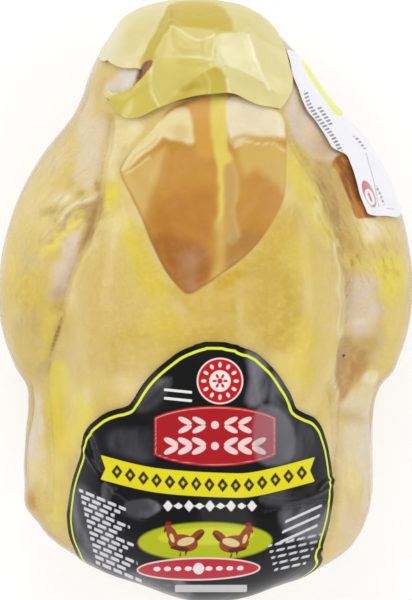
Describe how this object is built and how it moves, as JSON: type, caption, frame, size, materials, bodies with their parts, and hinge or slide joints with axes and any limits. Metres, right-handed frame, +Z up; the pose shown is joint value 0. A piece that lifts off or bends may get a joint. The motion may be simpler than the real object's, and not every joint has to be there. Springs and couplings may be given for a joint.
{
  "type": "whole raw chicken in film",
  "caption": "Whole raw chicken lying breast up in clear shrink film, with a gold foil sheet over the hocks, a front label and a sticker.",
  "frame": {"origin": "middle of the pack's outline as seen from above, at the height of the resting face", "axes": "+Y from the neck end towards the hocks, +Z up out of the breast, +X to the right as seen from above with the hocks away"},
  "size_m": [0.1748, 0.2558, 0.1123],
  "materials": {
    "skin_in_film": "yellow skin under clear glossy film",
    "gold_foil": "satin pale gold foil under film",
    "front_label": "glossy black printed label",
    "weight_sticker": "white paper sticker"
  },
  "bodies": {
    "root": {"chicken_in_film": "skin_in_film", "gold_foil": "gold_foil", "front_label": "front_label", "weight_sticker": "weight_sticker"}
  },
  "joints": []
}
